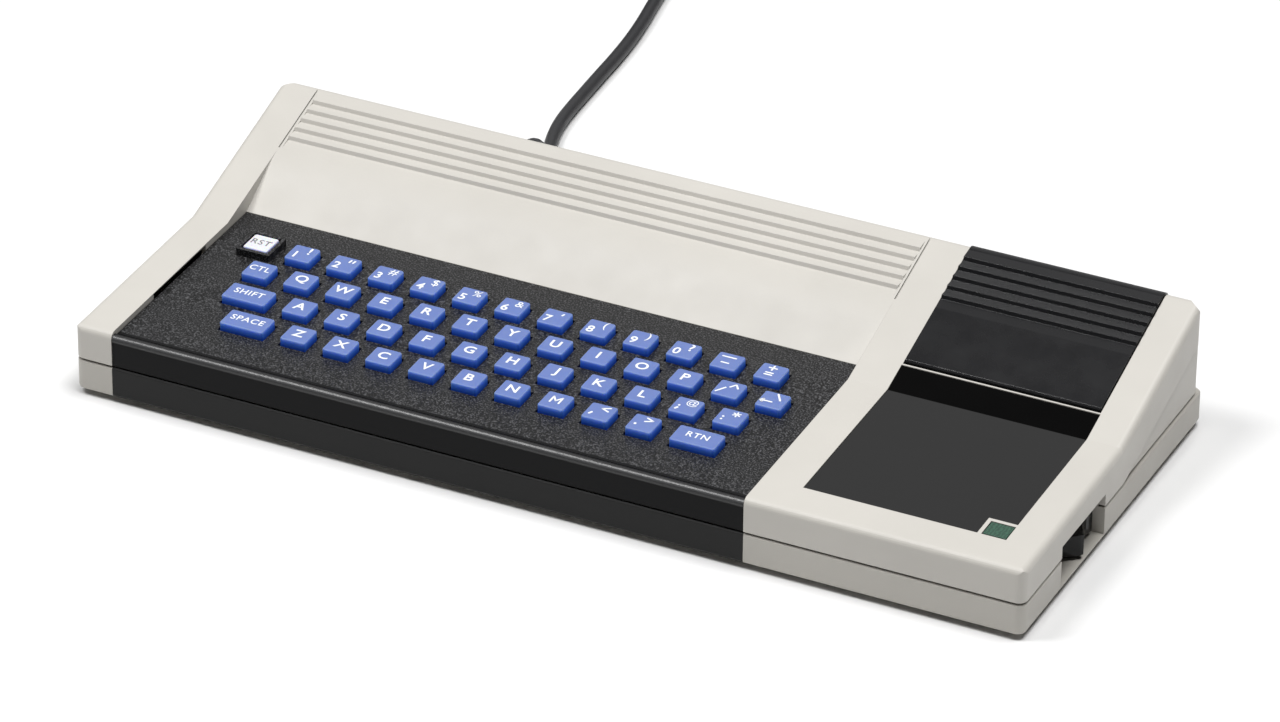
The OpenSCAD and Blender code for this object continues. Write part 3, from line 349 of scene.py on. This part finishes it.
def label_sheet():
    """Smooth dark printed sheet."""
    n = Nodes("label_sheet")
    n.join(
        n.ramp(n.noise(20, 3.0), (0.3, (0.0012, 0.0012, 0.0012)), (0.7, (0.0020, 0.0019, 0.0019))),
        n.shader.inputs["Base Color"],
    )
    n.join(n.ramp(n.noise(60, 3.0), (0.3, 0.09), (0.7, 0.12)), n.shader.inputs["Roughness"])
    n.shader.inputs["Specular IOR Level"].default_value = 0.57
    n.join(n.bump(n.noise(700, 2.0), 0.000004, n.soft_edges(0.0002)), n.shader.inputs["Normal"])
    return n.material


def lens_green():
    """Dark green window with fine lines moulded under its surface."""
    n = Nodes("lens_plastic")
    wave = n.add(
        "ShaderNodeTexWave", wave_type="BANDS", bands_direction="X", Scale=260.0, Distortion=6.0
    )
    wave.inputs["Detail Scale"].default_value = 3.0
    n.join(n.where, wave.inputs["Vector"])
    n.join(
        n.ramp(wave.outputs["Fac"], (0.0, (0.008, 0.044, 0.025)), (1.0, (0.026, 0.096, 0.058))),
        n.shader.inputs["Base Color"],
    )
    n.shader.inputs["Roughness"].default_value = 0.3
    n.shader.inputs["Coat Weight"].default_value = 0.4
    n.join(n.bump(wave.outputs["Fac"], 0.00005, n.soft_edges(0.0003)), n.shader.inputs["Normal"])
    return n.material


def metal(name, colour, rough, brushed):
    n = Nodes(name)
    n.shader.inputs["Metallic"].default_value = 1.0
    n.shader.inputs["Base Color"].default_value = (*colour, 1)
    stretch = n.add("ShaderNodeMapping")
    stretch.inputs["Scale"].default_value = (1.0, brushed, brushed)
    n.join(n.where, stretch.inputs["Vector"])
    lines = n.noise(260, 4.0, 0.6, stretch.outputs["Vector"])
    n.join(n.ramp(lines, (0.3, rough - 0.06), (0.7, rough + 0.06)), n.shader.inputs["Roughness"])
    n.join(n.bump(lines, 0.00001, n.soft_edges(0.0002)), n.shader.inputs["Normal"])
    return n.material


def board_green():
    n = Nodes("board")
    tracks = n.add("ShaderNodeTexBrick", Scale=160.0)
    tracks.inputs["Mortar Size"].default_value = 0.06
    tracks.inputs["Color1"].default_value = (0.012, 0.10, 0.035, 1)
    tracks.inputs["Color2"].default_value = (0.016, 0.12, 0.045, 1)
    tracks.inputs["Mortar"].default_value = (0.03, 0.20, 0.08, 1)
    n.join(n.where, tracks.inputs["Vector"])
    n.join(tracks.outputs["Color"], n.shader.inputs["Base Color"])
    n.shader.inputs["Roughness"].default_value = 0.35
    n.join(n.bump(n.noise(900, 2.0), 0.00001), n.shader.inputs["Normal"])
    return n.material


def printed_ink(name, low, high):
    n = Nodes(name)
    n.join(n.ramp(n.noise(900, 3.0), (0.3, low), (0.7, high)), n.shader.inputs["Base Color"])
    n.shader.inputs["Roughness"].default_value = 0.5
    return n.material


deck_black = grained_deck()
# Blue keys: brighter and fuller in colour up the sides than on the greyer top, as painted light
# from the front, and darker towards the bottom, as painted shade
blue = silicone(
    "key_silicone",
    (0.0, (0.015, 0.100, 0.65)),
    (0.5, (0.070, 0.250, 0.92)),
    (0.80, (0.180, 0.360, 0.97)),
    (0.93, (0.220, 0.300, 0.57)),
    (1.0, (0.132, 0.192, 0.44)),
)
# Reset key: white top, and sides that darken towards the bottom, as painted shade
reset_white = silicone(
    "reset_silicone",
    (0.0, (0.13, 0.14, 0.30)),
    (0.80, (0.30, 0.32, 0.60)),
    (0.93, (0.45, 0.45, 0.62)),
    (1.0, (0.66, 0.67, 0.71)),
)
label_black = label_sheet()
green = lens_green()
screw_steel = metal("screw_steel", (0.55, 0.55, 0.56), 0.35, 1.0)
can_steel = metal("can_steel", (0.60, 0.61, 0.62), 0.3, 0.1)
blade_brass = metal("blade_metal", (0.62, 0.56, 0.42), 0.3, 0.2)
board = board_green()
ink = printed_ink("legend_ink", (0.78, 0.80, 0.84), (0.86, 0.87, 0.90))
reset_ink = printed_ink("reset_ink", (0.12, 0.12, 0.15), (0.18, 0.18, 0.22))

FINISH = {
    "top_case": case_light,
    "bottom_case": case_lower_shaded,
    "keyboard_bezel": deck_black,
    "front_skirt": skirt_black,
    "label_panel": label_black,
    "cartridge_cover": cover_black,
    "power_lens": green,
    "power_rocker": rocker_black,
    "switch_body": switch_black,
    "rubber_feet": foot_rubber,
    "case_screws": screw_steel,
    "key_mat": mat_rubber,
    "keyboard_board": board,
    "main_board": board,
    "board_components": chip_black,
    "cartridge_connector": connector_black,
    "rf_modulator": can_steel,
    "channel_switch": switch_black,
    "strain_relief": cord_rubber,
}
for name, material in FINISH.items():
    mesh = nodes[name].data
    if mesh.materials:
        for i in range(len(mesh.materials)):
            mesh.materials[i] = material
    else:
        mesh.materials.append(material)

lead.data.materials.append(cord_rubber)


# ---- Meshes ------------------------------------------------------------------


def make(name, bm, material, sharp=35):
    """One smooth-shaded object from a bmesh in metres."""
    mesh = bpy.data.meshes.new(name)
    bmesh.ops.recalc_face_normals(bm, faces=bm.faces)
    bm.to_mesh(mesh)
    bm.free()
    for face in mesh.polygons:
        face.use_smooth = True
    mesh.set_sharp_from_angle(angle=math.radians(sharp))
    mesh.materials.append(material)
    return link(bpy.data.objects.new(name, mesh))


def ring(w, d, r, z, steps=6):
    """Points round a rectangle with rounded corners, in millimetres."""
    points = []
    for cx, cy, start in ((1, 1, 0), (-1, 1, 90), (-1, -1, 180), (1, -1, 270)):
        for i in range(steps + 1):
            a = math.radians(start + 90 * i / steps)
            x = cx * (w / 2 - r) + r * math.cos(a)
            y = cy * (d / 2 - r) + r * math.sin(a)
            points.append(Vector((x, y, z)))
    return points


def loft(bm, rings, place):
    """Skin over rings of the same number of points, closed at both ends."""
    made = [[bm.verts.new(place @ (p * MM)) for p in r] for r in rings]
    n = len(made[0])
    for low, high in zip(made, made[1:]):
        for i in range(n):
            j = (i + 1) % n
            bm.faces.new((low[i], low[j], high[j], high[i]))
    bm.faces.new(list(reversed(made[0])))
    bm.faces.new(made[-1])
    return made


# ---- Keys --------------------------------------------------------------------

DECK_TILT = math.atan(1.7 / 93.8)
KEY_UP = 2.9
KEY_UNDER = 2.1
FLANGE = 1.0
KEY_W = 9.3
KEY_D = 9.5
PLUNGER_H = 0.4
PLUNGER_IN = 3
FLANGE_R = 0.3
KEY_R = 0.9
TOP_R = 0.55
NUMBER_KEYS = 12


def key_places(node):
    """(place, width) of each cap of a node, from the node's box."""
    lo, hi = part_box(node)
    tilt = Matrix.Rotation(DECK_TILT, 4, "X")
    y = (lo.y + hi.y) / 2 - (KEY_UNDER * 2 + FLANGE) / 2 * math.sin(DECK_TILT) * MM
    z = hi.z - (KEY_UP * math.cos(DECK_TILT) + KEY_D / 2 * math.sin(DECK_TILT)) * MM
    span = (hi.x - lo.x) / MM
    if node == "number_row_keys":
        width = KEY_W
        pitch = (span - width - 2 * FLANGE) / (NUMBER_KEYS - 1)
        xs = [lo.x + (FLANGE + width / 2 + pitch * i) * MM for i in range(NUMBER_KEYS)]
    else:
        width = span - 2 * FLANGE
        xs = [(lo.x + hi.x) / 2]
    return [(Matrix.Translation((x, y, z)) @ tilt, width) for x in xs]


def cap_rings(w):
    foot = -KEY_UNDER - FLANGE
    rings = [
        ring(w - PLUNGER_IN, KEY_D - PLUNGER_IN, FLANGE_R, foot - PLUNGER_H),
        ring(w - PLUNGER_IN, KEY_D - PLUNGER_IN, FLANGE_R, foot),
        ring(w + 2 * FLANGE, KEY_D + 2 * FLANGE, FLANGE_R, foot),
        ring(w + 2 * FLANGE, KEY_D + 2 * FLANGE, FLANGE_R, foot + FLANGE),
        ring(w, KEY_D, KEY_R, -KEY_UNDER),
        ring(w, KEY_D, KEY_R, 0.0),
        ring(w, KEY_D, KEY_R, KEY_UP / 2),
        ring(w, KEY_D, KEY_R, KEY_UP - TOP_R),
    ]
    for i in range(1, 5):
        a = math.radians(22.5 * i)
        cut = TOP_R * (1 - math.cos(a))
        rings.append(
            ring(w - 2 * cut, KEY_D - 2 * cut, KEY_R - cut, KEY_UP - TOP_R * (1 - math.sin(a)))
        )
    return rings


def make_keys(node, material):
    bm = bmesh.new()
    heights = []
    for place, width in key_places(node):
        for one in loft(bm, cap_rings(width), place):
            for v in one:
                heights.append((place.inverted() @ v.co).z / MM / KEY_UP)
    bm.verts.index_update()
    keys = make(node.replace("_keys", "") + "_cap", bm, material)
    level = keys.data.attributes.new("height", "FLOAT", "POINT")
    for i, h in enumerate(heights):
        level.data[i].value = min(max(h, 0.0), 1.0)
    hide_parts(node)
    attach(keys, node)
    return keys


def stroke(bm, place, points, width, z):
    """A flat round-ended line through points, in millimetres, just over the key's top."""
    for (ax, ay), (bx, by) in zip(points, points[1:]):
        along = math.atan2(by - ay, bx - ax)
        rim = []
        for (cx, cy), turn in (((bx, by), -90), ((ax, ay), 90)):
            for i in range(9):
                a = along + math.radians(turn + 180 * i / 8)
                rim.append((cx + width / 2 * math.cos(a), cy + width / 2 * math.sin(a)))
        top = [bm.verts.new(place @ (Vector((x, y, z)) * MM)) for x, y in rim]
        low = [bm.verts.new(place @ (Vector((x, y, KEY_UP - 0.02)) * MM)) for x, y in rim]
        n = len(rim)
        for i in range(n):
            j = (i + 1) % n
            bm.faces.new((low[i], low[j], top[j], top[i]))
        bm.faces.new(top)


def letters(bm, place, text, x, y, size, bold, wide=1.0, space=1.0):
    """Lettering, centred on x and y on the key's top; bold is a share of its size."""
    curve = bpy.data.curves.new("legend", "FONT")
    curve.body = text
    curve.size = size
    curve.space_character = space
    curve.align_x = "CENTER"
    curve.align_y = "CENTER"
    curve.offset = bold * size
    curve.extrude = 0.03
    curve.resolution_u = 4
    holder = link(bpy.data.objects.new("legend", curve))
    bpy.context.view_layer.update()
    graph = bpy.context.evaluated_depsgraph_get()
    mesh = bpy.data.meshes.new_from_object(holder.evaluated_get(graph))
    xs = [v.co.x for v in mesh.vertices]
    ys = [v.co.y for v in mesh.vertices]
    middle = Vector(((min(xs) + max(xs)) / 2, (min(ys) + max(ys)) / 2, 0))
    fit = (
        place
        @ Matrix.Scale(MM, 4)
        @ Matrix.Translation((x, y, KEY_UP + 0.005))
        @ Matrix.Diagonal((wide, 1, 1, 1))
        @ Matrix.Translation(-middle)
    )
    mesh.transform(fit)
    bm.from_mesh(mesh)
    bpy.data.objects.remove(holder)
    bpy.data.meshes.remove(mesh)
    bpy.data.curves.remove(curve)


LEGEND_Z = KEY_UP + 0.035
LINE_SIZE = 1.4
LINE_W = 0.65
# Signs drawn as lines: lists of points round the sign's middle, in millimetres
LINES = {
    "-": [[(-0.9, 0), (0.9, 0)]],
    "_": [[(-1.7, 0), (1.7, 0)]],
    "=": [[(-0.9, 0.45), (0.9, 0.45)], [(-0.9, -0.45), (0.9, -0.45)]],
    "+": [[(-0.95, 0), (0.95, 0)], [(0, -0.95), (0, 0.95)]],
    "/": [[(-0.75, -1.2), (0.75, 1.2)]],
    "back": [[(0.75, -1.2), (-0.75, 1.2)]],
    "^": [[(-1.0, -0.7), (0, 0.8), (1.0, -0.7)]],
    "arrow": [[(1.8, 0), (-1.2, 0)], [(-0.4, 0.7), (-1.2, 0), (-0.4, -0.7), (-0.4, 0.7)]],
    "M": [[(-1.15, -1.25), (-1.15, 1.25), (0, -0.45), (1.15, 1.25), (1.15, -1.25)]],
    "*": [[(0, -0.95), (0, 0.95)], [(-0.85, 0.45), (0.85, -0.45)], [(-0.85, -0.45), (0.85, 0.45)]],
    "<": [[(0.9, 0.8), (-0.9, 0), (0.9, -0.8)]],
    ">": [[(-0.9, 0.8), (0.9, 0), (-0.9, -0.8)]],
    ",": [[(0.1, 0.1), (-0.25, -0.6)]],
    ".": [[(0, -0.05), (0, 0.05)]],
    "'": [[(0.1, 0.5), (-0.1, -0.1)]],
    '"': [[(-0.4, 0.65), (-0.55, -0.3)], [(0.6, 0.65), (0.45, -0.3)]],
    ";": [[(0.05, 0.55), (0.06, 0.6)], [(0.05, -0.45), (-0.25, -1.05)]],
    ":": [[(0, 0.6), (0.01, 0.65)], [(0, -0.6), (0.01, -0.55)]],
}
# Signs whose lines aren't LINE_W wide
THICK = {".": 0.95, ",": 0.8, ";": 0.8, ":": 0.8, "*": 0.5}
# Signs with the plain strokes of the type, and their sizes
FINE = {"%": 5.0, "&": 5.0, "@": 4.3, "(": 5.3, ")": 5.3, "#": 5.4, "$": 5.2}


def sign(bm, place, text, x, y, size):
    if text in LINES:
        for points in LINES[text]:
            moved = [(x + LINE_SIZE * px, y + LINE_SIZE * py) for px, py in points]
            stroke(bm, place, moved, THICK.get(text, LINE_W), LEGEND_Z)
    else:
        letters(bm, place, text, x, y, FINE.get(text, size), 0.0 if text in FINE else SIGN_BOLD)


SIGN_BOLD = 0.016
LOW_SIZE = 5.4
HIGH_SIZE = 5.7
LETTER_SIZE = 5.7
LETTER_UP = 0.35
WORD_WIDE = 0.96
WORD_SPACE = 1.12
# Places of the lower and upper sign: number row, its last two keys, and letter rows
NUMBER_AT = ((-2.0, -1.4), (2.0, 2.0))
STACKED_AT = ((-0.3, -1.4), (-0.3, 2.3))
LETTER_AT = ((-2.4, -1.4), (1.3, 2.1))
letter_keys = {
    "key_control": "CTL", "key_q": "Q", "key_w": "W", "key_e": "E", "key_r": "R",
    "key_t": "T", "key_y": "Y", "key_u": "U", "key_i": "I", "key_o": "O", "key_p": "P",
    "key_slash": ("/", "^"), "key_left_arrow": ("arrow", "back"),
    "key_shift": "SHIFT", "key_a": "A", "key_s": "S", "key_d": "D", "key_f": "F",
    "key_g": "G", "key_h": "H", "key_j": "J", "key_k": "K", "key_l": "L",
    "key_semicolon": (";", "@"), "key_colon": (":", "*"),
    "key_space": "SPACE", "key_z": "Z", "key_x": "X", "key_c": "C", "key_v": "V",
    "key_b": "B", "key_n": "N", "key_m": "M", "key_comma": (",", "<"),
    "key_period": (".", ">"), "key_return": "RTN",
}  # fmt: skip
number_signs = [
    ("1", "!"), ("2", '"'), ("3", "#"), ("4", "$"), ("5", "%"), ("6", "&"),
    ("7", "'"), ("8", "("), ("9", ")"), ("0", "?"), ("-", "_"), ("=", "+"),
]  # fmt: skip


def sign_places(node, signs):
    if signs[0] in ("-", "="):
        return STACKED_AT
    return NUMBER_AT if node == "number_row_keys" else LETTER_AT


def make_legend(node, words):
    bm = bmesh.new()
    for (place, _), word in zip(key_places(node), words):
        if isinstance(word, tuple):
            low_at, high_at = sign_places(node, word)
            sign(bm, place, word[0], *low_at, LOW_SIZE)
            sign(bm, place, word[1], *high_at, HIGH_SIZE)
        elif word in LINES:
            sign(bm, place, word, 0.0, LETTER_UP, LETTER_SIZE)
        elif len(word) == 1:
            letters(bm, place, word, 0.0, LETTER_UP, LETTER_SIZE, 0.018, 1.04)
        else:
            letters(bm, place, word, 0.0, 0.5, 4.2, 0.01, WORD_WIDE, WORD_SPACE)
    legend = make(node.replace("_keys", "") + "_legend", bm, ink)
    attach(legend, node)
    return legend


make_keys("key_reset", reset_white)
make_keys("number_row_keys", blue)
make_legend("number_row_keys", number_signs)
for node, word in letter_keys.items():
    make_keys(node, blue)
    make_legend(node, [word])

bm = bmesh.new()
letters(bm, key_places("key_reset")[0][0], "RST", 0.0, 0.3, 4.4, 0.0, WORD_WIDE, WORD_SPACE)
reset_legend = make("key_reset_legend", bm, reset_ink)
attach(reset_legend, "key_reset")

# ---- Adapter -----------------------------------------------------------------

low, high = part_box("power_adapter")
BOOT_L, BLADE_L, BLADE_T, BLADE_W, BLADE_GAP = 12.0, 17.0, 1.5, 6.4, 12.7
BODY_R = 3.2
GROOVE_DEEP = 0.4
body_w = (high.x - low.x) / MM - BOOT_L
body_l = (high.y - low.y) / MM - BLADE_L
body_h = (high.z - low.z) / MM
middle = Vector((low.x + body_w / 2 * MM, low.y + body_l / 2 * MM, low.z))
ROUND = 1.6
levels = []
for i in range(5):
    a = math.radians(22.5 * i)
    levels.append((ROUND * (1 - math.sin(a)), ROUND * (1 - math.cos(a))))
# Groove round the middle, where the two halves meet
for z, cut in ((-0.4, 0.0), (-0.2, GROOVE_DEEP), (0.2, GROOVE_DEEP), (0.4, 0.0)):
    levels.append((cut, body_h / 2 + z))
for i in range(4, -1, -1):
    a = math.radians(22.5 * i)
    levels.append((ROUND * (1 - math.sin(a)), body_h - ROUND * (1 - math.cos(a))))
bm = bmesh.new()
loft(
    bm,
    [ring(body_w - 2 * cut, body_l - 2 * cut, BODY_R - cut, z) for cut, z in levels],
    Matrix.Translation(middle),
)
adapter = make("adapter_body", bm, adapter_black)
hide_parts("power_adapter")
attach(adapter, "base")

# Boot with rings, from the lead into the adapter's side
bm = bmesh.new()
boot_at = Matrix.Translation((high.x, middle.y, 1.5 * LEAD_D * MM)) @ Matrix.Rotation(
    math.radians(-90), 4, "Y"
)
BOOT_RINGS = 12
BOOT_R = 2.6
BOOT_GROWS = 1.1
turn = [math.tau * k / 24 for k in range(24)]
rings = []
for i in range(BOOT_RINGS + 1):
    # The last ring is sunk in the adapter, and every other one stands out
    z = BOOT_L * i / BOOT_RINGS + (1.0 if i == BOOT_RINGS else 0.0)
    r = BOOT_R + BOOT_GROWS * i / BOOT_RINGS + (0.25 if i % 2 else -0.05)
    rings.append([Vector((r * math.cos(t), r * math.sin(t), z)) for t in turn])
loft(bm, rings, boot_at)
boot = make("adapter_boot", bm, cord_rubber, 60)
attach(boot, "base")

# Two flat blades with tapered ends
bm = bmesh.new()
for side in (-1, 1):
    at = Matrix.Translation(
        (middle.x + side * BLADE_GAP / 2 * MM, high.y - BLADE_L * MM, low.z + body_h / 2 * MM)
    ) @ Matrix.Rotation(math.radians(-90), 4, "X")
    loft(
        bm,
        [
            ring(BLADE_T, BLADE_W, 0.2, -1.0, 2),
            ring(BLADE_T, BLADE_W, 0.2, BLADE_L - 2.0, 2),
            ring(BLADE_T - 0.6, BLADE_W - 1.6, 0.2, BLADE_L, 2),
        ],
        at,
    )
blades = make("adapter_blades", bm, blade_brass)
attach(blades, "base")

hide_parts("power_cord", "cord_coil")
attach(lead, "base")

# ---- Floor and light ---------------------------------------------------------

FLOOR_HALF = 6.0
FLOOR_DOWN = 0.0002
bm = bmesh.new()
bmesh.ops.create_grid(bm, x_segments=8, y_segments=8, size=FLOOR_HALF)
floor = make(
    "floor", bm, plastic("floor", (0.77, 0.77, 0.77), 0.8, 60, 0.00001, 0.0001, 0.005, 0.1)
)
floor.location.z = -FLOOR_DOWN


# Where the pale wall is, seen from the object
WALL_WAY = (-0.372, 0.779, 0.505)


def studio():
    """A dim room with one pale wall low behind the left."""
    world = scene.world or bpy.data.worlds.new("world")
    scene.world = world
    world.use_nodes = True
    tree = world.node_tree
    sky = tree.nodes["Background"]
    way = tree.nodes.new("ShaderNodeTexCoord").outputs["Generated"]
    wall = tree.nodes.new("ShaderNodeVectorMath")
    wall.operation = "DOT_PRODUCT"
    wall.inputs[1].default_value = WALL_WAY
    tree.links.new(way, wall.inputs[0])
    glow = tree.nodes.new("ShaderNodeMapRange")
    glow.interpolation_type = "SMOOTHSTEP"
    for key, value in (("From Min", 0.86), ("From Max", 0.97), ("To Min", 0.04), ("To Max", 0.52)):
        glow.inputs[key].default_value = value
    tree.links.new(wall.outputs["Value"], glow.inputs["Value"])
    tree.links.new(glow.outputs["Result"], sky.inputs["Strength"])
    sky.inputs["Color"].default_value = (1.0, 1.0, 1.0, 1)


def softbox(name, at, size, power):
    """A white panel at a place, turned to the middle of the floor."""
    data = bpy.data.lights.new(name, "AREA")
    data.shape = "RECTANGLE"
    data.size, data.size_y = size
    data.energy = power
    lamp = link(bpy.data.objects.new(name, data))
    lamp.location = at
    lamp.rotation_mode = "QUATERNION"
    lamp.rotation_quaternion = (-Vector(at)).to_track_quat("-Z", "Y")


studio()
scene.view_settings.view_transform = "Standard"
softbox("key_light", (0.6, 0.0, 3.0), (1.45, 1.45), 92.0)
softbox("edge_light", (-0.72, -0.5, 1.75), (0.5, 0.8), 20.0)
